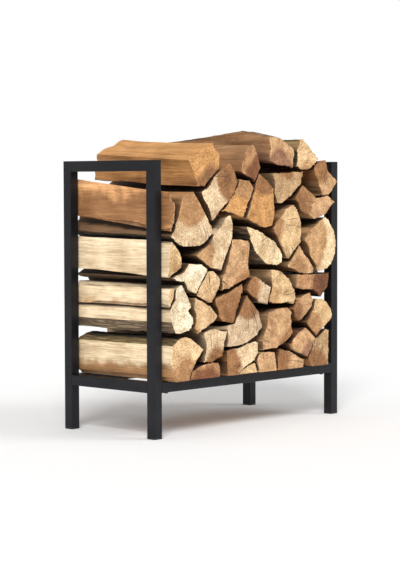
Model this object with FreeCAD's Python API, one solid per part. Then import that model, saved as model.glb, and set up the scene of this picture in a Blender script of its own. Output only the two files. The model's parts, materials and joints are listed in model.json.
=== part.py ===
"""Firewood rack of welded square steel tube, loaded with split logs.

Two welded end frames stand on four legs with plastic foot caps. A front and a rear rail slide over
short spigots on the end frames, and a screw from below locks each end. The logs lie across the two
rails, between the end frames, and nothing but their weight holds them.
Frame: X along the rack, Y from front to back, Z up. The origin is on the floor, under the middle.
"""

import FreeCAD
import Part
import os

Vector = FreeCAD.Vector

# Driving dimensions, in millimetres.
RACK_WIDTH = 660.0
RACK_DEPTH = 300.0
RACK_HEIGHT = 635.0
SHELF_HEIGHT = 130.0  # floor to the top of the lower rails, which carry the logs
TUBE = 25.0
TUBE_WALL = 1.5
TUBE_CORNER = 2.0

CAP_FLANGE = 4.0  # thickness of a foot cap under the tube's end
CAP_PLUG_LENGTH = 16.0
CAP_CLEARANCE = 0.2
CAP_RECESS_DEPTH = 12.0
CAP_RECESS_WALL = 2.0

SPIGOT_LENGTH = 45.0
SPIGOT_WALL = 3.0
SPIGOT_CLEARANCE = 0.3

SCREW_RADIUS = 3.0
SCREW_HEAD_RADIUS = 5.25
SCREW_HEAD_HEIGHT = 3.3
SCREW_SOCKET_RADIUS = 2.0
SCREW_SOCKET_DEPTH = 2.0
SCREW_HOLE_CLEARANCE = 0.3
SCREW_FROM_POST = 25.0  # from the post's face to the screw's axis

LOG_REST_GAP = 0.5  # between the rails and the logs that lie on them
LOG_SIDE_GAP = 2.0  # between an end frame and the logs beside it
LOG_OVERHANG = 30.0  # the longest log stands this far out of the rack, front and back

# Places that follow from them.
END_X = RACK_WIDTH / 2 - TUBE / 2
SIDE_Y = RACK_DEPTH / 2 - TUBE / 2
RAIL_Z = SHELF_HEIGHT - TUBE / 2
TOP_Z = RACK_HEIGHT - TUBE / 2
POST_GAP_X = RACK_WIDTH - 2 * TUBE
POST_GAP_Y = RACK_DEPTH - 2 * TUBE
BORE = TUBE - 2 * TUBE_WALL

os.makedirs("parts", exist_ok=True)


def export(name, shape):
    """Writes one node, which is one solid or a group of like ones."""
    shape.exportStep("parts/" + name + ".step")


# Square tube


def rounded_square(side, radius):
    """A square wire round the origin of the XY plane, with rounded corners."""
    flat = side / 2 - radius
    mid = side / 2 - radius + radius * 0.5**0.5
    half = side / 2
    edges = []
    for turn in range(4):
        line = Part.LineSegment(Vector(-flat, -half, 0), Vector(flat, -half, 0)).toShape()
        arc = Part.Arc(Vector(flat, -half, 0), Vector(mid, -mid, 0), Vector(half, -flat, 0)).toShape()
        for edge in (line, arc):
            edge.rotate(Vector(0, 0, 0), Vector(0, 0, 1), 90 * turn)
            edges.append(edge)
    return Part.Wire(edges)


def square_bar(side, radius, length):
    """A solid bar along +Z from the origin."""
    return Part.Face(rounded_square(side, radius)).extrude(Vector(0, 0, length))


def tube(length, side=TUBE, wall=TUBE_WALL, radius=TUBE_CORNER):
    """A hollow tube along +Z from the origin."""
    inner_radius = max(radius - wall, 0.4)
    return square_bar(side, radius, length).cut(square_bar(side - 2 * wall, inner_radius, length))


def mitre(shape, corner, direction):
    """Cuts a tube at 45 degrees. corner is the point of the bend's outside, in the YZ plane,
    and direction is the side of the cut that goes, as (y, z)."""
    reach = 3 * TUBE
    y, z = corner
    normal_y, normal_z = direction
    along = Vector(0, -normal_z, normal_y)
    away = Vector(0, normal_y, normal_z)
    start = Vector(0, y, z)
    points = [
        start - along * reach,
        start + along * reach,
        start + along * reach + away * reach,
        start - along * reach + away * reach,
    ]
    block = Part.Face(Part.makePolygon(points + points[:1])).extrude(Vector(reach * 2, 0, 0))
    block.translate(Vector(shape.BoundBox.Center.x - reach, 0, 0))
    return shape.cut(block)


# End frames: two posts, a top rail mitred to them, and a lower rail between them

SIDES = (("left", -1), ("right", 1))
FACES = (("front", -1), ("rear", 1))


def post(side, face):
    shape = tube(RACK_HEIGHT - CAP_FLANGE)
    shape.translate(Vector(side * END_X, face * SIDE_Y, CAP_FLANGE))
    return mitre(shape, (face * RACK_DEPTH / 2, RACK_HEIGHT), (-face, 1))


def top_rail(side):
    shape = tube(RACK_DEPTH)
    shape.rotate(Vector(0, 0, 0), Vector(1, 0, 0), -90)
    shape.translate(Vector(side * END_X, -RACK_DEPTH / 2, TOP_Z))
    for _, face in FACES:
        shape = mitre(shape, (face * RACK_DEPTH / 2, RACK_HEIGHT), (face, -1))
    return shape


def side_rail(side):
    shape = tube(POST_GAP_Y)
    shape.rotate(Vector(0, 0, 0), Vector(1, 0, 0), -90)
    shape.translate(Vector(side * END_X, -POST_GAP_Y / 2, RAIL_Z))
    return shape


# Front and rear rails, the spigots inside their ends, and the locking screws


def screw_axis(side, face):
    return side * (POST_GAP_X / 2 - SCREW_FROM_POST), face * SIDE_Y


def long_rail(face):
    shape = tube(POST_GAP_X)
    shape.rotate(Vector(0, 0, 0), Vector(0, 1, 0), 90)
    shape.translate(Vector(-POST_GAP_X / 2, face * SIDE_Y, RAIL_Z))
    for _, side in SIDES:
        x, y = screw_axis(side, face)
        hole = Part.makeCylinder(SCREW_RADIUS + SCREW_HOLE_CLEARANCE, TUBE, Vector(x, y, RAIL_Z - TUBE))
        shape = shape.cut(hole)
    return shape


def spigot(side, face):
    outer = BORE - 2 * SPIGOT_CLEARANCE
    shape = tube(SPIGOT_LENGTH, outer, SPIGOT_WALL, 1.0)
    shape.rotate(Vector(0, 0, 0), Vector(0, 1, 0), -90 * side)
    shape.translate(Vector(side * POST_GAP_X / 2, face * SIDE_Y, RAIL_Z))
    x, y = screw_axis(side, face)
    thread = Part.makeCylinder(SCREW_RADIUS, TUBE / 2, Vector(x, y, RAIL_Z - TUBE / 2))
    return shape.cut(thread)


def locking_screw(side, face):
    """A button-head screw, up through the rail's floor into the spigot's."""
    x, y = screw_axis(side, face)
    seat = RAIL_Z - TUBE / 2
    tip = seat + TUBE_WALL + SPIGOT_CLEARANCE + SPIGOT_WALL
    head = Part.makeCylinder(SCREW_HEAD_RADIUS, SCREW_HEAD_HEIGHT, Vector(x, y, seat - SCREW_HEAD_HEIGHT))
    crown = [edge for edge in head.Edges if abs(edge.BoundBox.ZMax - seat + SCREW_HEAD_HEIGHT) < 1e-6]
    head = head.makeFillet(SCREW_HEAD_HEIGHT * 0.6, crown)
    shank = Part.makeCylinder(SCREW_RADIUS, tip - seat, Vector(x, y, seat))
    under = Vector(x, y, seat - SCREW_HEAD_HEIGHT)
    socket = Part.makeCylinder(SCREW_SOCKET_RADIUS, SCREW_SOCKET_DEPTH, under)
    return head.fuse(shank).cut(socket).removeSplitter()


# Foot caps, pushed into the legs


def foot_cap(side, face):
    plug_side = BORE - 2 * CAP_CLEARANCE
    shape = square_bar(TUBE, TUBE_CORNER, CAP_FLANGE)
    plug = square_bar(plug_side, 1.0, CAP_PLUG_LENGTH)
    plug.translate(Vector(0, 0, CAP_FLANGE))
    recess = square_bar(plug_side - 2 * CAP_RECESS_WALL, 0.5, CAP_RECESS_DEPTH)
    recess.translate(Vector(0, 0, CAP_FLANGE + CAP_PLUG_LENGTH - CAP_RECESS_DEPTH))
    shape = shape.fuse(plug).cut(recess).removeSplitter()
    shape.translate(Vector(side * END_X, face * SIDE_Y, 0))
    return shape


# Firewood. A log is split from a round, so its outline is flat splits and sometimes an arc of bark.
# An outline is drawn as seen from the front: x from the rack's middle, h above the rails.

DRAWN_BAY = 606.0  # the width that the outlines below are drawn for
BAY = POST_GAP_X - 2 * LOG_SIDE_GAP
STRETCH = BAY / DRAWN_BAY


def via(x, h):
    """The point that an arc of bark passes through, between the corners before and after it."""
    return x, h, "via"


def section(outline, y, size=1.0, shift=(0.0, 0.0), slope=0.0):
    """The log's outline as a wire at y, scaled about its own middle and then shifted. slope is
    how far the saw cut leans along the log for each millimetre up."""
    corners = [point for point in outline if len(point) == 2]
    mid_x = sum(point[0] for point in corners) / len(corners)
    mid_h = sum(point[1] for point in corners) / len(corners)

    def place(point):
        x = mid_x + (point[0] - mid_x) * size + shift[0]
        h = mid_h + (point[1] - mid_h) * size + shift[1]
        return Vector(x * STRETCH, y + (point[1] - mid_h) * slope, SHELF_HEIGHT + LOG_REST_GAP + h)

    count = len(outline)
    edges = []
    for index, point in enumerate(outline):
        after = outline[(index + 1) % count]
        if len(point) == 3:
            before = outline[index - 1]
            edges.append(Part.Arc(place(before), place(point), place(after)).toShape())
        elif len(after) == 2:
            edges.append(Part.LineSegment(place(point), place(after)).toShape())
    return Part.Wire(edges)


def log(name, outline, short=(0.0, 0.0), taper=0.97, drift=(0.0, 0.0), middle=None, slope=0.0):
    """short is how much less than the longest log this one reaches, at its front and at its back.
    taper and drift are the back end's size and place against the front end's. middle is an extra
    section on a crooked log, as (share of the way back, size, shift). slope is the back cut's."""
    front = -RACK_DEPTH / 2 - LOG_OVERHANG + short[0]
    back = RACK_DEPTH / 2 + LOG_OVERHANG - short[1]
    wires = [section(outline, front)]
    if middle:
        share, size, shift = middle
        wires.append(section(outline, front + (back - front) * share, size, shift))
    wires.append(section(outline, back, taper, drift, slope))
    export(name, Part.makeLoft(wires, True, True))


def bottom_logs():
    """The logs that lie on the rails, left to right."""
    outline = [(-302, 84), via(-262, 101), (-214, 84), (-190, 68), (-222, 36), (-244, 0), (-286, 0),
               (-297, 10), (-299, 40)]
    log("log_01", outline, short=(4, 46), taper=0.98, drift=(-1, 0.5))
    outline = [(-239, 0), (-226, 20), (-205, 31), (-176, 33), (-140, 38), (-132, 28), (-131, 0)]
    log("log_02", outline, short=(8, 12), drift=(0, -0.5))
    outline = [(-112, 60), (-62, 65), (-8, 77), (0, 73), (0, 50), (-14, 30), (-66, 8), (-71, 0),
               (-108, 0)]
    log("log_04", outline, short=(6, 24), drift=(0, -1))
    outline = [(-64, 0), (-61, 6), (-12, 26), (-6, 23), (2, 0)]
    log("log_05", outline, short=(9, 34), taper=0.95, drift=(0, -0.5))
    outline = [(6, 0), (-2, 25), (3, 43), (20, 48), (58, 48), (65, 28), (68, 0)]
    log("log_06", outline, short=(5, 18), drift=(1, -0.5))
    outline = [(79, 54), (118, 43), (150, 28), (172, 19), (169, 0), (74, 0), (71, 28)]
    log("log_07", outline, short=(7, 0))
    outline = [(209, 66), (240, 79), (254, 90), (264, 86), (262, 0), (201, 0), (184, 20), (193, 37)]
    log("log_08", outline, short=(5, 29), drift=(24, -1))


def lower_logs():
    """The second and third layers."""
    outline = [(-195, 108), (-155, 113), (-115, 105), (-124, 70), (-127, 48), (-163, 38), (-197, 36),
               (-184, 70)]
    log("log_03", outline, short=(4, 30), taper=0.96)
    outline = [(115, 62), via(139, 86), (170, 99), (205, 70), (190, 41), (179, 25), (124, 45)]
    log("log_09", outline, short=(0, 17), taper=0.98, drift=(0, -1))
    outline = [(34, 142), (70, 149), (102, 153), (119, 140), (118, 110), (125, 88), (100, 67), (68, 54),
               (15, 50), (17, 85), (31, 106)]
    log("log_10", outline, short=(4, 9), drift=(0, 5))
    outline = [(-43, 188), (-4, 150), (17, 110), via(-45, 74), (-117, 68), (-110, 118), (-83, 121)]
    log("log_11", outline, short=(3, 21), taper=0.96)
    outline = [(-146, 183), (-100, 198), (-54, 214), (-50, 201), (-84, 124), (-124, 127), (-147, 170)]
    log("log_12", outline, short=(9, 36), taper=0.95)
    outline = [(-220, 189), (-166, 168), (-142, 145), (-150, 134), (-212, 104), (-226, 117), (-217, 145),
               (-222, 170)]
    log("log_13", outline, short=(5, 14))
    outline = [(-218, 194), (-174, 247), (-156, 247), (-130, 229), (-134, 214), (-163, 171)]
    log("log_14", outline, short=(6, 28), taper=0.96)
    log("log_15", [(-303, 214), (-284, 212), (-287, 188), (-303, 167)], short=(9, 40), drift=(0, 2))
    outline = [(-281, 213), (-270, 223), (-261, 223), (-248, 196), (-236, 181), (-233, 167), (-243, 160),
               (-229, 146), (-227, 130), (-241, 114), (-288, 110), (-303, 136), (-303, 161), (-285, 184)]
    log("log_16", outline, short=(5, 22), taper=0.98, drift=(-1, -1))
    outline = [(-299, 238), (-284, 229), (-258, 227), (-247, 213), (-224, 194), (-212, 206), (-182, 246),
               (-178, 254), (-205, 270), (-240, 267), (-262, 250)]
    log("log_17", outline, short=(4, 33), taper=0.95, drift=(0, 1))


def middle_logs():
    """The layers up to the middle of the stack."""
    outline = [(-303, 305), (-297, 322), via(-276, 305), (-260, 268), (-263, 258), (-303, 241)]
    log("log_18", outline, short=(7, 30), taper=0.95, drift=(-1, 8))
    outline = [(-98, 376), (-117, 371), (-150, 333), (-173, 314), (-222, 287), (-166, 256), (-131, 247),
               (-92, 325), (-88, 356)]
    log("log_19", outline, short=(5, 12), taper=0.95)
    outline = [(-89, 319), (-31, 318), (-27, 295), (-34, 272), (-27, 227), (-60, 219), (-104, 202),
               (-130, 200), (-124, 236), (-106, 262)]
    log("log_20", outline, short=(7, 26), taper=0.96, drift=(3, 9))
    outline = [(-44, 199), (-29, 220), (-8, 232), (44, 202), (33, 162), (-2, 168)]
    log("log_21", outline, short=(4, 44), taper=0.95, drift=(1, 7))
    outline = [(46, 245), via(110, 219), (137, 172), (131, 159), (38, 165), (49, 205)]
    log("log_22", outline, short=(6, 16), drift=(1, 5))
    outline = [(128, 145), (144, 168), (175, 178), (191, 186), (204, 166), (199, 149), (166, 121),
               (150, 113), (134, 124)]
    log("log_23", outline, short=(5, 31), taper=0.96)
    outline = [(206, 146), (212, 165), via(254, 158), (279, 124), (275, 113), (212, 74), (172, 113)]
    log("log_24", outline, short=(3, 8), drift=(12, 2))
    outline = [(142, 229), (200, 229), (240, 229), (269, 231), (263, 194), (236, 170), (192, 190),
               (142, 197)]
    log("log_25", outline, short=(6, 38), taper=0.98, drift=(24, 2))
    outline = [(152, 301), (170, 279), (187, 266), (206, 241), (203, 231), (150, 232), (111, 250), (128, 275)]
    log("log_26", outline, short=(5, 20), taper=0.95)
    outline = [(250, 367), via(291, 300), (258, 238), (219, 230), (197, 272), (169, 311), (190, 334),
               (216, 351)]
    log("log_27", outline, short=(4, 14), drift=(7, 0))
    outline = [(127, 403), via(152, 362), (147, 302), (108, 270), (92, 283), (53, 343), (100, 391)]
    log("log_28", outline, short=(3, 35), taper=0.96, drift=(4, 2))
    outline = [(-40, 350), (-4, 342), (62, 313), (88, 279), (85, 259), via(28, 258), (-15, 292), (-27, 328)]
    log("log_29", outline, short=(6, 10), taper=0.95, drift=(-2, -2))


def upper_logs():
    """The layers under the top ones."""
    outline = [(-226, 435), (-261, 425), (-276, 374), (-302, 332), via(-240, 303), (-157, 342)]
    log("log_30", outline, short=(4, 27), taper=0.93, drift=(0, 6))
    outline = [(-303, 432), (-298, 420), (-284, 402), (-287, 362), (-303, 340)]
    log("log_31", outline, short=(5, 30), drift=(0, 34))
    outline = [(-102, 497), (-88, 488), (-73, 455), (-85, 428), (-134, 385), (-160, 364), (-197, 430),
               (-160, 462), (-128, 485)]
    log("log_32", outline, short=(5, 18), taper=0.96)
    outline = [(-64, 461), (-31, 459), (-15, 441), (-47, 378), (-52, 368), (-92, 380), (-128, 386),
               (-80, 426), (-67, 452)]
    log("log_33", outline, short=(7, 39), taper=0.96, drift=(0, -1))
    outline = [(5, 474), (36, 458), (57, 438), (58, 372), (48, 349), (18, 343), (-12, 354), (-42, 370),
               (-10, 440), (-4, 462)]
    log("log_34", outline, short=(4, 6), taper=0.97, drift=(0, -4))
    outline = [(56, 476), (112, 479), (168, 481), (159, 448), (125, 421), (92, 404), (70, 403), (65, 435)]
    log("log_35", outline, short=(8, 24), taper=0.98, drift=(0, -3))
    outline = [(165, 446), (214, 419), (232, 416), (262, 422), (290, 404), (252, 373), (205, 362),
               (157, 384), (137, 413)]
    log("log_36", outline, short=(5, 15), taper=0.96, drift=(6, 0))
    outline = [(206, 482), via(224, 502), (249, 509), (258, 482), (296, 455), (263, 424), (236, 418),
               (222, 452)]
    log("log_37", outline, short=(2, 33), taper=0.95, drift=(4, -2))


def top_logs():
    """The four that lie on top."""
    outline = [(-241, 505), (-211, 521), (-165, 543), (-141, 518), (-139, 486), (-163, 468), (-189, 444),
               (-217, 441), (-227, 480)]
    log("log_38", outline, short=(3, 40), taper=0.96, drift=(0, 18), slope=-0.42)
    outline = [(-20, 547), (-8, 533), (9, 488), (-2, 468), (-15, 452), (-30, 465), (-63, 478),
               (-52, 510), (-38, 534)]
    log("log_39", outline, short=(6, 22), taper=0.95, drift=(0, 1))
    outline = [(40, 563), (78, 561), (101, 550), (133, 532), (127, 486), (38, 502)]
    log("log_40", outline, short=(4, 12), taper=0.95, drift=(0, -6), middle=(0.25, 1.05, (-1, 14)))
    outline = [(149, 558), (168, 560), (200, 533), (228, 510), (195, 485), (160, 485), (137, 491), (146, 527)]
    log("log_41", outline, short=(6, 28), taper=0.95, drift=(0, 1))


def main():
    for side_name, side in SIDES:
        export("top_rail_" + side_name, top_rail(side))
        export("side_rail_" + side_name, side_rail(side))
        for face_name, face in FACES:
            corner = "_" + face_name + "_" + side_name
            export("post" + corner, post(side, face))
            export("spigot" + corner, spigot(side, face))
            export("foot_cap" + corner, foot_cap(side, face))
    for face_name, face in FACES:
        export(face_name + "_rail", long_rail(face))
    screws = [locking_screw(side, face) for _, side in SIDES for _, face in FACES]
    export("locking_screws", Part.makeCompound(screws))
    bottom_logs()
    lower_logs()
    middle_logs()
    upper_logs()
    top_logs()


main()
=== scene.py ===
"""A firewood rack of black square tube, loaded with split logs."""
import json
from math import radians

import bmesh
import bpy
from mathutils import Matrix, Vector, noise
from mathutils.bvhtree import BVHTree


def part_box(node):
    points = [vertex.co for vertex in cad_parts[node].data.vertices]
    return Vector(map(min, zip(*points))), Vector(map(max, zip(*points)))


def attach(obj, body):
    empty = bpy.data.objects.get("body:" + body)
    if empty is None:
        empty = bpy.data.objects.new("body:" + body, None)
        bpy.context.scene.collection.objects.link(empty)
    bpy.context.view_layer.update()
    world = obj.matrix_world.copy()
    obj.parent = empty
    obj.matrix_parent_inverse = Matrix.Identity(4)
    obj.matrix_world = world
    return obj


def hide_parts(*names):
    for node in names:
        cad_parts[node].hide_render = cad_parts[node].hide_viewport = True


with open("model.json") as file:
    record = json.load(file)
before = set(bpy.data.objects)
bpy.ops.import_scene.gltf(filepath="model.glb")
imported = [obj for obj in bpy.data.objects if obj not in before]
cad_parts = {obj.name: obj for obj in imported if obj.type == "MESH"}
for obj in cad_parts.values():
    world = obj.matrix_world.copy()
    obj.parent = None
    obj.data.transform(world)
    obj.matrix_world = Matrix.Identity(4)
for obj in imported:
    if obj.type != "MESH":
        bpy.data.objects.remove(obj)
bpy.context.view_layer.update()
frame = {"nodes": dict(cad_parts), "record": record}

# Floor and light
# A pale matt floor under a soft white sky, with a broad key light high over the left shoulder and a
# weaker one on the right. Nothing here belongs to the rack.

PAPER = (0.97, 0.97, 0.97)
FLOOR_REACH = 60.0
SKY_LIGHT = 0.50
KEYS = (  # direction that the light comes from, softness in degrees, strength
    ((-0.92, -0.78, 0.95), 22.0, 2.15),
    ((0.70, -0.85, 0.80), 30.0, 0.75),
)

floor_mesh = bpy.data.meshes.new("floor")
sheet = bmesh.new()
bmesh.ops.create_grid(sheet, x_segments=1, y_segments=1, size=FLOOR_REACH)
sheet.to_mesh(floor_mesh)
sheet.free()
floor = bpy.data.objects.new("floor", floor_mesh)
bpy.context.scene.collection.objects.link(floor)
paper = bpy.data.materials.new("paper")
paper.use_nodes = True
paper.node_tree.nodes["Principled BSDF"].inputs["Base Color"].default_value = (*PAPER, 1.0)
paper.node_tree.nodes["Principled BSDF"].inputs["Roughness"].default_value = 0.9
floor.data.materials.append(paper)

for source, softness, strength in KEYS:
    lamp = bpy.data.lights.new("key", "SUN")
    lamp.angle, lamp.energy = radians(softness), strength
    stand = bpy.data.objects.new("key", lamp)
    stand.rotation_euler = Vector(source).to_track_quat("Z", "Y").to_euler()
    bpy.context.scene.collection.objects.link(stand)

# The sky lights the rack softly, and behind it looks as white as the floor.
sky = bpy.data.worlds.new("sky")
sky.use_nodes = True
backing = sky.node_tree.nodes["Background"]
backing.inputs["Color"].default_value = (1.0, 1.0, 1.0, 1.0)
seen = sky.node_tree.nodes.new("ShaderNodeLightPath")
level = sky.node_tree.nodes.new("ShaderNodeMapRange")
level.inputs["To Min"].default_value = SKY_LIGHT
sky.node_tree.links.new(seen.outputs["Is Camera Ray"], level.inputs["Value"])
sky.node_tree.links.new(level.outputs["Result"], backing.inputs["Strength"])
bpy.context.scene.world = sky
bpy.context.scene.view_settings.view_transform = "Standard"

# Camera
# It stands a good four metres off, in front of the left end and a little under the rack's top.

lens = bpy.data.cameras.new("camera")
lens.lens, lens.sensor_width = 115.8, 36.0
camera = bpy.data.objects.new("camera", lens)
camera.location = (-3.279, -3.053, 0.581)
camera.rotation_euler = (radians(90 - 3.161), radians(0.165), radians(-46.897))
bpy.context.scene.collection.objects.link(camera)
bpy.context.scene.camera = camera


# Rack tubes
# Square steel tube, welded into two end frames with a loose rail front and back. It is dipped in
# black powder, which bakes to a satin skin with a faint orange peel.

RACK_BLACK = (0.0070, 0.0075, 0.0100, 1.0)
RUBBED_BLACK = (0.0120, 0.0125, 0.0155, 1.0)


def new_material(name):
    """A material with its node tree, its shader and the Object coordinates."""
    made = bpy.data.materials.new(name)
    made.use_nodes = True
    tree = made.node_tree
    return made, tree, tree.nodes["Principled BSDF"], tree.nodes.new("ShaderNodeTexCoord").outputs["Object"]


def texture(tree, kind, vector, mode=None, **inputs):
    """A texture or mapping node with its inputs set, by name with _ for a space."""
    made = tree.nodes.new("ShaderNode" + kind)
    if mode:
        setattr(made, *mode)
    if vector is not None:
        tree.links.new(vector, made.inputs["Vector"])
    for name, value in inputs.items():
        socket = made.inputs[name.replace("_", " ")]
        if isinstance(value, bpy.types.NodeSocket):
            tree.links.new(value, socket)
        else:
            socket.default_value = value
    return made


def maths(tree, operation, *values, clamp=False):
    """One sum, product or function of up to three values."""
    made = tree.nodes.new("ShaderNodeMath")
    made.operation, made.use_clamp = operation, clamp
    for socket, value in zip(made.inputs, values):
        if isinstance(value, bpy.types.NodeSocket):
            tree.links.new(value, socket)
        else:
            socket.default_value = value
    return made.outputs[0]


def between(tree, value, low, high):
    """0 where the value is under low, 1 where it is over high, and smooth between."""
    made = tree.nodes.new("ShaderNodeMapRange")
    made.interpolation_type = "SMOOTHSTEP"
    tree.links.new(value, made.inputs["Value"])
    made.inputs["From Min"].default_value = low
    made.inputs["From Max"].default_value = high
    return made.outputs["Result"]


def mixed(tree, share, first, second, blend="MIX"):
    """Two colours mixed, each a socket or a plain colour."""
    made = tree.nodes.new("ShaderNodeMix")
    made.data_type, made.blend_type = "RGBA", blend
    for socket, value in ((made.inputs[0], share), (made.inputs[6], first), (made.inputs[7], second)):
        if isinstance(value, bpy.types.NodeSocket):
            tree.links.new(value, socket)
        else:
            socket.default_value = value
    return made.outputs[2]


def bump(tree, shader, height, distance, strength=1.0):
    """Relief on the shader, from a height and how deep it is in metres."""
    made = tree.nodes.new("ShaderNodeBump")
    made.inputs["Distance"].default_value = distance
    made.inputs["Strength"].default_value = strength
    tree.links.new(height, made.inputs["Height"])
    tree.links.new(made.outputs["Normal"], shader.inputs["Normal"])


def finish_rack(first_letters, material):
    """Gives the material to the rack's pieces whose names start with these letters."""
    for name in frame["record"]["behaviour"]["bodies"]["rack"]:
        if name.startswith(first_letters):
            frame["nodes"][name].data.materials.clear()
            frame["nodes"][name].data.materials.append(material)


powder_coat, tree, shader, place = new_material("black_powder_coat")
peel = texture(tree, "TexNoise", place, Scale=900.0, Detail=2.0).outputs["Fac"]
cloudy = texture(tree, "TexNoise", place, Scale=14.0, Detail=4.0).outputs["Fac"]
black = mixed(tree, between(tree, cloudy, 0.4, 0.7), RACK_BLACK, RUBBED_BLACK)
tree.links.new(black, shader.inputs["Base Color"])
tree.links.new(maths(tree, "MULTIPLY_ADD", cloudy, 0.18, 0.34), shader.inputs["Roughness"])
shader.inputs["Specular IOR Level"].default_value = 0.26
bump(tree, shader, peel, 0.00012, 0.35)

finish_rack(("post", "top_rail", "side_rail", "front_rail", "rear_rail"), powder_coat)

# Foot caps
# Moulded black polyethylene, with a flange under the leg's end and a plug that grips inside it. The
# moulding leaves it duller than the tube, with a fine grain.

cap_plastic, tree, shader, place = new_material("cap_plastic")
shader.inputs["Base Color"].default_value = (0.009, 0.009, 0.010, 1.0)
grain = texture(tree, "TexNoise", place, Scale=1500.0, Detail=2.0).outputs["Fac"]
tree.links.new(maths(tree, "MULTIPLY_ADD", grain, 0.15, 0.5), shader.inputs["Roughness"])
bump(tree, shader, grain, 0.0001, 0.4)
finish_rack("foot_cap", cap_plastic)

# Locking screws and spigots
# Short bare steel spigots, welded to the end frames, go inside the rails' ends and show only in the
# joints. A button-head screw in black zinc holds each rail to its spigot from below.

METALS = (  # first letters of the node, name, base colour, roughness at the least
    ("spigot", "bare_steel", (0.40, 0.40, 0.41, 1.0), 0.30),
    ("locking_screws", "black_zinc", (0.045, 0.045, 0.050, 1.0), 0.24),
)
for start, title, shade, dull in METALS:
    metal, tree, shader, place = new_material(title)
    shader.inputs["Metallic"].default_value = 1.0
    shader.inputs["Base Color"].default_value = shade
    cloudy = texture(tree, "TexNoise", place, Scale=120.0).outputs["Fac"]
    tree.links.new(maths(tree, "MULTIPLY_ADD", cloudy, 0.3, dull), shader.inputs["Roughness"])
    finish_rack(start, metal)

# Logs
# Each is split from a round with an axe, so it has flat torn sides along the grain, sawn ends with
# the rings and drying cracks, and bark where it kept some of the round's skin.

REST_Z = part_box("front_rail")[1].z  # the rails' top, where the lowest logs stay flat
REST_BAND = 0.0025
BAY_CLEAR = 0.0008  # the least left between a log's rough side and a post
BAY_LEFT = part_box("post_front_left")[1].x + BAY_CLEAR
BAY_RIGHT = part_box("post_front_right")[0].x - BAY_CLEAR
GRID = 0.005  # between the cuts across a log
SLICE = 0.013  # between the cuts along it
RIM_SLICES = (0.0025, 0.006)  # extra cuts, this far in from its ends
CHAMFER = 0.0011
SEED_STEP = 7.3  # between one log's place in the noise and the next one's
SAWN = 0.9  # a face that points this much along the log is an end
ROUND_ENOUGH = 0.87  # a side that points this much away from the pith kept its bark
LEAN = 0.035  # how far out of square the saw went
FIBRES, SWELLS, KNOBS, CHIPS = (170, 8), (26, 6), (110, 36), (62, 14)  # across and along, per metre
FIBRE_DEPTH = 0.0013
SWELL_DEPTH = 0.0046
CHIP_DEPTH = 0.0024
BARK_DEPTH = 0.0030
END_DEPTH = 0.0022
RING_PITCH = 0.0031
# Painted highlight: how much lighter the sawn rims are painted, where broken fibres are also lighter.
PAINTED_RIM_HIGHLIGHT = 1.18
# The settings below paint shade into the narrow gaps deep in the stack.
GAP_START = 0.0005  # from a log's face to where its view of the next log starts
GAP_REACH = 0.06  # a gap as wide as this is as light as the outside
PAINTED_SHADE_FALL = 7.0  # how fast a gap darkens with its depth
GAP_LIP = 0.0015  # how far out of the stack a gap starts to darken
# The colour of the painted shade deepest in a gap.
PAINTED_GAP_SHADE = (0.034, 0.013, 0.008)


def colour(red, green, blue):
    """A screen colour as the linear one that a shader takes."""
    return (*((value / 255.0) ** 2.2 for value in (red, green, blue)), 1.0)


SAP = {
    "white": colour(232, 212, 178),
    "straw": colour(226, 196, 152),
    "cream": colour(215, 184, 144),
    "peach": colour(216, 178, 132),
    "gold": colour(211, 174, 126),
    "grey": colour(202, 172, 137),
    "tan": colour(198, 154, 110),
    "olive": colour(184, 148, 106),
    "orange": colour(195, 141, 85),
    "russet": colour(178, 130, 88),
}
SIDE = {
    **SAP,
    "pale": colour(238, 211, 171),
    "umber": colour(160, 118, 80),
    "moss": colour(164, 134, 90),
    "rust": colour(238, 174, 116),
    # The darkest torn side; on log_30 it is painted shade for the shadowed gap beside it.
    "dark_brown": colour(118, 88, 60),
}
HEART = {
    "straw": colour(210, 184, 144),
    "amber": colour(190, 146, 100),
    "tan": colour(172, 127, 84),
    "pink": colour(146, 104, 76),
    "brown": colour(152, 106, 66),
    "dark": colour(124, 78, 46),
}
BARK = {
    "grey": (colour(84, 66, 50), colour(190, 164, 132)),
    "moss": (colour(74, 60, 36), colour(176, 150, 98)),
    "red": (colour(92, 50, 34), colour(176, 122, 92)),
    # The darkest bark; on log_30 it is painted shade for the shadowed gap beside it.
    "darkest": (colour(52, 38, 24), colour(122, 94, 62)),
}

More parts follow.
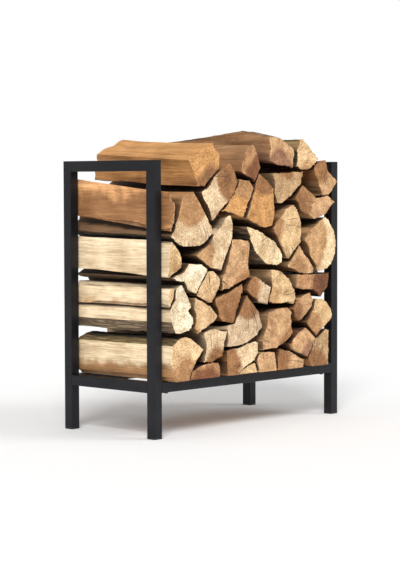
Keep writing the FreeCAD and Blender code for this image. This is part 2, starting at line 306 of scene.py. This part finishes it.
LOGS = {  # pith x and z, heartwood radius, sapwood, heartwood, torn side, bark
    "log_01": (-0.258, 0.118, 0.062, "peach", "tan", "pale", "moss"),
    "log_02": (-0.185, 0.070, 0.085, "russet", "dark", "russet", "red"),
    "log_03": (-0.150, 0.150, 0.048, "cream", "brown", "cream", None),
    "log_04": (-0.125, 0.150, 0.060, "cream", "brown", "cream", None),
    "log_05": (-0.040, 0.090, 0.040, "gold", "amber", "gold", None),
    "log_06": (0.040, 0.080, 0.060, "tan", "amber", "gold", None),
    "log_07": (0.070, 0.150, 0.048, "tan", "brown", "tan", None),
    "log_08": (0.210, 0.120, 0.050, "olive", "brown", "olive", "grey"),
    "log_09": (0.188, 0.150, 0.044, "tan", "pink", "tan", "red"),
    "log_10": (0.125, 0.190, 0.046, "tan", "brown", "tan", None),
    "log_11": (-0.045, 0.322, 0.058, "grey", "brown", "grey", "grey"),
    "log_12": (-0.090, 0.250, 0.075, "russet", "brown", "russet", None),
    "log_13": (-0.226, 0.250, 0.020, "peach", "amber", "peach", None),
    "log_14": (-0.150, 0.280, 0.040, "peach", "amber", "peach", None),
    "log_15": (-0.320, 0.300, 0.020, "peach", "amber", "pale", None),
    "log_16": (-0.240, 0.345, 0.018, "white", "straw", "pale", "grey"),
    "log_17": (-0.235, 0.345, 0.020, "white", "straw", "dark_brown", None),
    "log_18": (-0.282, 0.392, 0.012, "gold", "amber", "pale", "darkest"),
    "log_19": (-0.190, 0.420, 0.040, "cream", "amber", "cream", None),
    "log_20": (-0.030, 0.310, 0.066, "tan", "brown", "tan", None),
    "log_21": (-0.045, 0.330, 0.050, "grey", "brown", "grey", None),
    "log_22": (0.040, 0.296, 0.040, "gold", "amber", "peach", "grey"),
    "log_23": (0.130, 0.270, 0.034, "tan", "brown", "tan", None),
    "log_24": (0.195, 0.225, 0.042, "gold", "tan", "gold", "grey"),
    "log_25": (0.262, 0.325, 0.060, "russet", "dark", "tan", None),
    "log_26": (0.150, 0.365, 0.036, "tan", "tan", "tan", None),
    "log_27": (0.180, 0.440, 0.076, "straw", "amber", "cream", "grey"),
    "log_28": (0.058, 0.480, 0.034, "gold", "tan", "tan", "red"),
    "log_29": (0.070, 0.480, 0.030, "straw", "straw", "gold", "grey"),
    # log_30's darkest bark and torn side are painted shade for the shadowed gap beside it.
    "log_30": (-0.240, 0.560, 0.074, "cream", "tan", "dark_brown", "darkest"),
    "log_31": (-0.380, 0.520, 0.090, "tan", "brown", "rust", None),
    "log_32": (-0.085, 0.600, 0.062, "cream", "brown", "umber", None),
    "log_33": (-0.030, 0.600, 0.055, "orange", "tan", "orange", None),
    "log_34": (0.015, 0.620, 0.060, "orange", "brown", "tan", None),
    "log_35": (0.110, 0.620, 0.030, "olive", "brown", "olive", None),
    "log_36": (0.145, 0.535, 0.055, "tan", "brown", "tan", None),
    "log_37": (0.220, 0.630, 0.046, "tan", "brown", "tan", "red"),
    "log_38": (-0.170, 0.570, 0.050, "orange", "brown", "orange", None),
    "log_39": (0.010, 0.600, 0.050, "russet", "dark", "umber", None),
    "log_40": (0.070, 0.600, 0.060, "tan", "pink", "umber", "grey"),
    "log_41": (0.185, 0.600, 0.036, "peach", "amber", "moss", "moss"),
}


CRACK_BROWN = colour(70, 42, 26)
END_WARMTH = (0.85, 1.05, 1.30)  # how much a shadow turns warm: powers for red, green and blue
SIDE_WARMTH = (0.9, 1.05, 1.25)


def growth(tree, place, pith, heart):
    """The distance from the pith, the angle round it, and the share of sapwood."""
    centred = texture(tree, "Mapping", place, Location=(-pith[0], 0.0, -pith[1])).outputs["Vector"]
    parts = tree.nodes.new("ShaderNodeSeparateXYZ")
    tree.links.new(centred, parts.inputs[0])
    x, z = parts.outputs["X"], parts.outputs["Z"]
    squares = maths(tree, "ADD", maths(tree, "MULTIPLY", x, x), maths(tree, "MULTIPLY", z, z))
    wander = texture(tree, "TexNoise", centred, Scale=24.0, Detail=4.0).outputs["Fac"]
    radius = maths(tree, "MULTIPLY_ADD", wander, 0.034, maths(tree, "SQRT", squares))
    angle = maths(tree, "ARCTAN2", z, x)
    return centred, radius, angle, between(tree, radius, heart + 0.009, heart + 0.025)


def times_painted_shade(tree, wood):
    """The wood's colour times the painted shade in the stack's deep gaps and the painted highlight on the
    sawn rims.
    """
    painted_shade_colour = tree.nodes.new("ShaderNodeAttribute")
    painted_shade_colour.attribute_name = "painted_shade_colour"
    return mixed(tree, 1.0, wood, painted_shade_colour.outputs["Color"], "MULTIPLY")


def shaded(tree, wood, shade, warmth):
    """The wood's colour times the shade, raised to one power each for red, green and blue."""
    grey = tree.nodes.new("ShaderNodeCombineColor")
    for socket, warm in zip(grey.inputs, warmth):
        tree.links.new(maths(tree, "POWER", shade, warm), socket)
    return mixed(tree, 1.0, wood, grey.outputs[0], "MULTIPLY")


def end_grain(name, pith, heart, sap, core):
    """A sawn end: rings, rays and drying cracks round the pith, with saw marks across."""
    made, tree, shader, place = new_material(name + "_end")
    centred, radius, angle, is_sap = growth(tree, place, pith, heart)
    ring_at = maths(tree, "DIVIDE", radius, RING_PITCH)
    rings = texture(tree, "TexNoise", None, ("noise_dimensions", "1D"), W=ring_at, Scale=1.0, Detail=1.0)
    ray_at = maths(tree, "MULTIPLY_ADD", radius, 9.0, maths(tree, "MULTIPLY", angle, 16.0))
    rays = texture(tree, "TexNoise", None, ("noise_dimensions", "1D"), W=ray_at, Scale=1.6, Detail=4.0)
    crack_at = maths(tree, "MULTIPLY_ADD", radius, 6.0, maths(tree, "MULTIPLY", angle, 3.1))
    crack = texture(tree, "TexNoise", None, ("noise_dimensions", "1D"), W=crack_at, Scale=2.4, Detail=2.0)
    crack_line = maths(tree, "ABSOLUTE", maths(tree, "SUBTRACT", crack.outputs["Fac"], 0.5))
    patch = texture(tree, "TexNoise", place, Scale=16.0, Detail=2.0).outputs["Fac"]
    reach = between(tree, patch, 0.52, 0.66)
    at_line = maths(tree, "SUBTRACT", 1.0, between(tree, crack_line, 0.0, 0.012))
    open_crack = maths(tree, "MULTIPLY", at_line, reach)
    blotch = texture(tree, "TexNoise", place, Scale=38.0, Detail=5.0, Roughness=0.6).outputs["Fac"]
    wood = mixed(tree, is_sap, core, sap)
    speck = texture(tree, "TexNoise", place, Scale=210.0, Detail=5.0, Roughness=0.7).outputs["Fac"]
    shade = maths(tree, "MULTIPLY_ADD", rings.outputs["Fac"], 0.62, 0.70)
    shade = maths(tree, "MULTIPLY", shade, maths(tree, "MULTIPLY_ADD", rays.outputs["Fac"], 0.44, 0.79))
    shade = maths(tree, "MULTIPLY", shade, maths(tree, "MULTIPLY_ADD", blotch, 1.70, 0.15))
    shade = maths(tree, "MULTIPLY", shade, maths(tree, "MULTIPLY_ADD", speck, 2.30, -0.15))
    wood = shaded(tree, wood, shade, END_WARMTH)
    wood = mixed(tree, open_crack, wood, CRACK_BROWN)
    tree.links.new(times_painted_shade(tree, wood), shader.inputs["Base Color"])
    shader.inputs["Roughness"].default_value = 0.78
    saw = texture(tree, "TexNoise", texture(tree, "Mapping", place, Scale=(1.0, 1.0, 0.08)).outputs["Vector"],
                  Scale=420.0, Detail=2.0).outputs["Fac"]
    relief = maths(tree, "MULTIPLY", rings.outputs["Fac"], 0.35)
    relief = maths(tree, "ADD", relief, maths(tree, "MULTIPLY", saw, 0.5))
    relief = maths(tree, "ADD", relief, maths(tree, "MULTIPLY", rays.outputs["Fac"], 0.4))
    relief = maths(tree, "SUBTRACT", relief, maths(tree, "MULTIPLY", open_crack, 2.0))
    bump(tree, shader, relief, 0.0011, 0.8)
    return made


def split_grain(name, pith, heart, sap, core):
    """A torn side: long fibres, with streaks and the heartwood's darker colour."""
    made, tree, shader, place = new_material(name + "_side")
    centred, radius, angle, is_sap = growth(tree, place, pith, heart)
    along = texture(tree, "Mapping", place, Scale=(1.0, 0.045, 1.0)).outputs["Vector"]
    fibre = texture(tree, "TexNoise", along, Scale=330.0, Detail=5.0, Roughness=0.65).outputs["Fac"]
    streak = texture(tree, "TexNoise", along, Scale=75.0, Detail=4.0, Roughness=0.6).outputs["Fac"]
    blotch = texture(tree, "TexNoise", place, Scale=15.0, Detail=4.0).outputs["Fac"]
    wood = mixed(tree, is_sap, core, sap)
    seam = texture(tree, "TexNoise", along, Scale=130.0, Detail=2.0).outputs["Fac"]
    seam = between(tree, maths(tree, "ABSOLUTE", maths(tree, "SUBTRACT", seam, 0.5)), 0.0, 0.022)
    shade = maths(tree, "MULTIPLY", maths(tree, "MULTIPLY_ADD", fibre, 1.45, 0.28),
                  maths(tree, "MULTIPLY_ADD", streak, 1.05, 0.48))
    shade = maths(tree, "MULTIPLY", shade, maths(tree, "MULTIPLY_ADD", seam, 0.24, 0.80))
    shade = maths(tree, "MULTIPLY", shade, maths(tree, "MULTIPLY_ADD", blotch, 1.0, 0.5))
    wood = shaded(tree, wood, shade, SIDE_WARMTH)
    tree.links.new(times_painted_shade(tree, wood), shader.inputs["Base Color"])
    shader.inputs["Roughness"].default_value = 0.72
    bump(tree, shader, maths(tree, "ADD", fibre, streak), 0.0014, 0.8)
    return made


def bark_skin(name, dark, light):
    """Bark: long plates with deep furrows between them."""
    made, tree, shader, place = new_material(name)
    along = texture(tree, "Mapping", place, Scale=(1.0, 0.11, 1.0)).outputs["Vector"]
    warp = texture(tree, "TexNoise", along, Scale=60.0, Detail=4.0).outputs["Color"]
    bent = texture(tree, "VectorMath", None)
    bent.operation = "MULTIPLY_ADD"
    tree.links.new(warp, bent.inputs[0])
    bent.inputs[1].default_value = (0.012, 0.012, 0.012)
    tree.links.new(along, bent.inputs[2])
    plates = texture(tree, "TexVoronoi", bent.outputs[0], ("feature", "DISTANCE_TO_EDGE"), Scale=120.0)
    furrow = between(tree, plates.outputs["Distance"], 0.0, 0.30)
    rough = texture(tree, "TexNoise", along, Scale=260.0, Detail=6.0, Roughness=0.7).outputs["Fac"]
    tint = maths(tree, "MULTIPLY", maths(tree, "MULTIPLY_ADD", rough, 1.3, -0.1, clamp=True),
                 maths(tree, "MULTIPLY_ADD", furrow, 0.7, 0.3))
    tree.links.new(times_painted_shade(tree, mixed(tree, tint, dark, light)), shader.inputs["Base Color"])
    shader.inputs["Roughness"].default_value = 0.88
    bump(tree, shader, maths(tree, "ADD", furrow, maths(tree, "MULTIPLY", rough, 0.6)), 0.0026, 1.0)
    return made


def cut_across(bm, axis, step, rim=()):
    """Cuts the whole mesh by planes square to one axis, evenly spaced, and near both its ends."""
    places = [vert.co[axis] for vert in bm.verts]
    low, high = min(places), max(places)
    count = max(int((high - low) / step), 1)
    cuts = [low + (high - low) * index / count for index in range(1, count)]
    for inset in rim:
        cuts += [low + inset, high - inset]
    for at in cuts:
        middle = Vector([at if number == axis else 0.0 for number in range(3)])
        normal = Vector([1.0 if number == axis else 0.0 for number in range(3)])
        bmesh.ops.bisect_plane(bm, geom=bm.verts[:] + bm.edges[:] + bm.faces[:], dist=1e-6,
                               plane_co=middle, plane_no=normal)


barks = {kind: bark_skin(kind + "_bark", *pair) for kind, pair in BARK.items()}

low_corners, high_corners = zip(*(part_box(name) for name in LOGS))
STACK_LEFT = min(corner.x for corner in low_corners)
STACK_RIGHT = max(corner.x for corner in high_corners)


def paint_gap_shade_and_rim_highlight(bm, name, low, high):
    """Writes painted shade and highlight at each point: dark deep in a narrow gap, none outside, lighter on
    the sawn rims.
    """
    others = bmesh.new()
    for other in LOGS:
        if other != name:
            others.from_mesh(frame["nodes"][other].data)
    neighbours = BVHTree.FromBMesh(others)
    others.free()
    layer = bm.verts.layers.float_color.new("painted_shade_colour")
    for vert in bm.verts:
        kinds = {face.material_index for face in vert.link_faces}
        side = Vector((vert.normal.x, 0.0, vert.normal.z))
        # Sawn ends get no painted shade; their rims get the painted highlight.
        if 0 in kinds:
            rim = PAINTED_RIM_HIGHLIGHT if len(kinds) > 1 else 1.0
            vert[layer] = (rim, rim, rim, 1.0)
            continue
        side.normalize()
        # Painted shade: the narrower the gap beside a point and the deeper it lies in the stack, the darker
        # it is painted.
        hit = neighbours.ray_cast(vert.co + side * GAP_START, side, GAP_REACH)
        from_ends = min(vert.co.y - low.y, high.y - vert.co.y)
        from_sides = min(vert.co.x - STACK_LEFT, STACK_RIGHT - vert.co.x)
        depth = max(min(from_ends, from_sides), 0.0)
        opening = hit[3] + GAP_START if hit[0] else None
        share = 1.0
        if opening:
            share = opening / (opening + PAINTED_SHADE_FALL * (depth + GAP_LIP))
            share += (1.0 - share) * (opening / (GAP_REACH + GAP_START)) ** 2
        vert[layer] = [dark + (1.0 - dark) * share for dark in PAINTED_GAP_SHADE] + [1.0]


def log_shape(name, pith, has_bark, seed):
    """The node's outline, cut fine and roughened: fibres along the sides, plates on the bark."""
    bm = bmesh.new()
    bm.from_mesh(frame["nodes"][name].data)
    bmesh.ops.remove_doubles(bm, verts=bm.verts[:], dist=0.00005)
    bmesh.ops.dissolve_limit(bm, angle_limit=radians(1.5), verts=bm.verts[:], edges=bm.edges[:])
    bm.normal_update()
    for face in bm.faces:
        middle = face.calc_center_median()
        outward = Vector((middle.x - pith[0], 0.0, middle.z - pith[1])).normalized()
        if abs(face.normal.y) > SAWN:
            face.material_index = 0
        elif has_bark and face.normal.dot(outward) > ROUND_ENOUGH:
            face.material_index = 2
        else:
            face.material_index = 1
    sharp = [edge for edge in bm.edges if len(edge.link_faces) == 2 and edge.calc_face_angle() > radians(25)]
    bmesh.ops.bevel(bm, geom=sharp, offset=CHAMFER, segments=1, profile=0.5, affect="EDGES", material=-1)
    for axis, step, rim in ((0, GRID, ()), (2, GRID, ()), (1, SLICE, RIM_SLICES)):
        cut_across(bm, axis, step, rim)
    bm.normal_update()
    low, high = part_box(name)
    middle = (low + high) / 2
    lean = [LEAN * noise.noise((seed, turn, 0.5)) * 2 for turn in (1.5, 2.5, 3.5, 4.5)]
    moves = []
    for vert in bm.verts:
        here, way = vert.co, vert.normal
        on_bark = any(face.material_index == 2 for face in vert.link_faces)
        on_end = any(face.material_index == 0 for face in vert.link_faces)
        fibre, swell, knobs, chip = (
            noise.noise((here.x * across + seed, here.y * along, here.z * across))
            for across, along in (FIBRES, SWELLS, KNOBS, CHIPS)
        )
        depth = fibre * FIBRE_DEPTH + (swell - 0.2) * SWELL_DEPTH + (chip - 0.2) * CHIP_DEPTH
        if on_bark:
            depth = abs(knobs) * BARK_DEPTH + (swell - 0.5) * SWELL_DEPTH
        side = Vector((way.x, 0.0, way.z))
        rests = here.z < REST_Z + REST_BAND
        move = side.normalized() * depth if side.length > 0.15 and not rests else Vector()
        if on_end:
            turn = 0 if here.y < 0 else 2
            move.y = (here.x - middle.x) * lean[turn] + (here.z - middle.z) * lean[turn + 1]
            move.y += (knobs + chip + swell) * END_DEPTH
        moves.append(move)
    for vert, move in zip(bm.verts, moves):
        vert.co += move
        vert.co.x = min(max(vert.co.x, BAY_LEFT), BAY_RIGHT)
    bm.normal_update()
    # Paints shade into the gaps between logs and a highlight on the sawn rims.
    paint_gap_shade_and_rim_highlight(bm, name, low, high)
    for face in bm.faces:
        face.smooth = True
    for edge in bm.edges:
        edge.smooth = len(edge.link_faces) == 2 and edge.calc_face_angle() < radians(38)
    return bm


for number, (name, (pith_x, pith_z, heart, sap, core, torn, skin)) in enumerate(LOGS.items()):
    pith = (pith_x, pith_z)
    shape = log_shape(name, pith, skin is not None, SEED_STEP * number)
    mesh = bpy.data.meshes.new("firewood_" + name)
    shape.to_mesh(mesh)
    shape.free()
    mesh.materials.append(end_grain(name, pith, heart, SAP[sap], HEART[core]))
    mesh.materials.append(split_grain(name, pith, heart, SIDE[torn], HEART[core]))
    mesh.materials.append(barks[skin or "grey"])
    firewood = bpy.data.objects.new("firewood_" + name, mesh)
    bpy.context.scene.collection.objects.link(firewood)
    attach(firewood, "firewood")
    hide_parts(name)
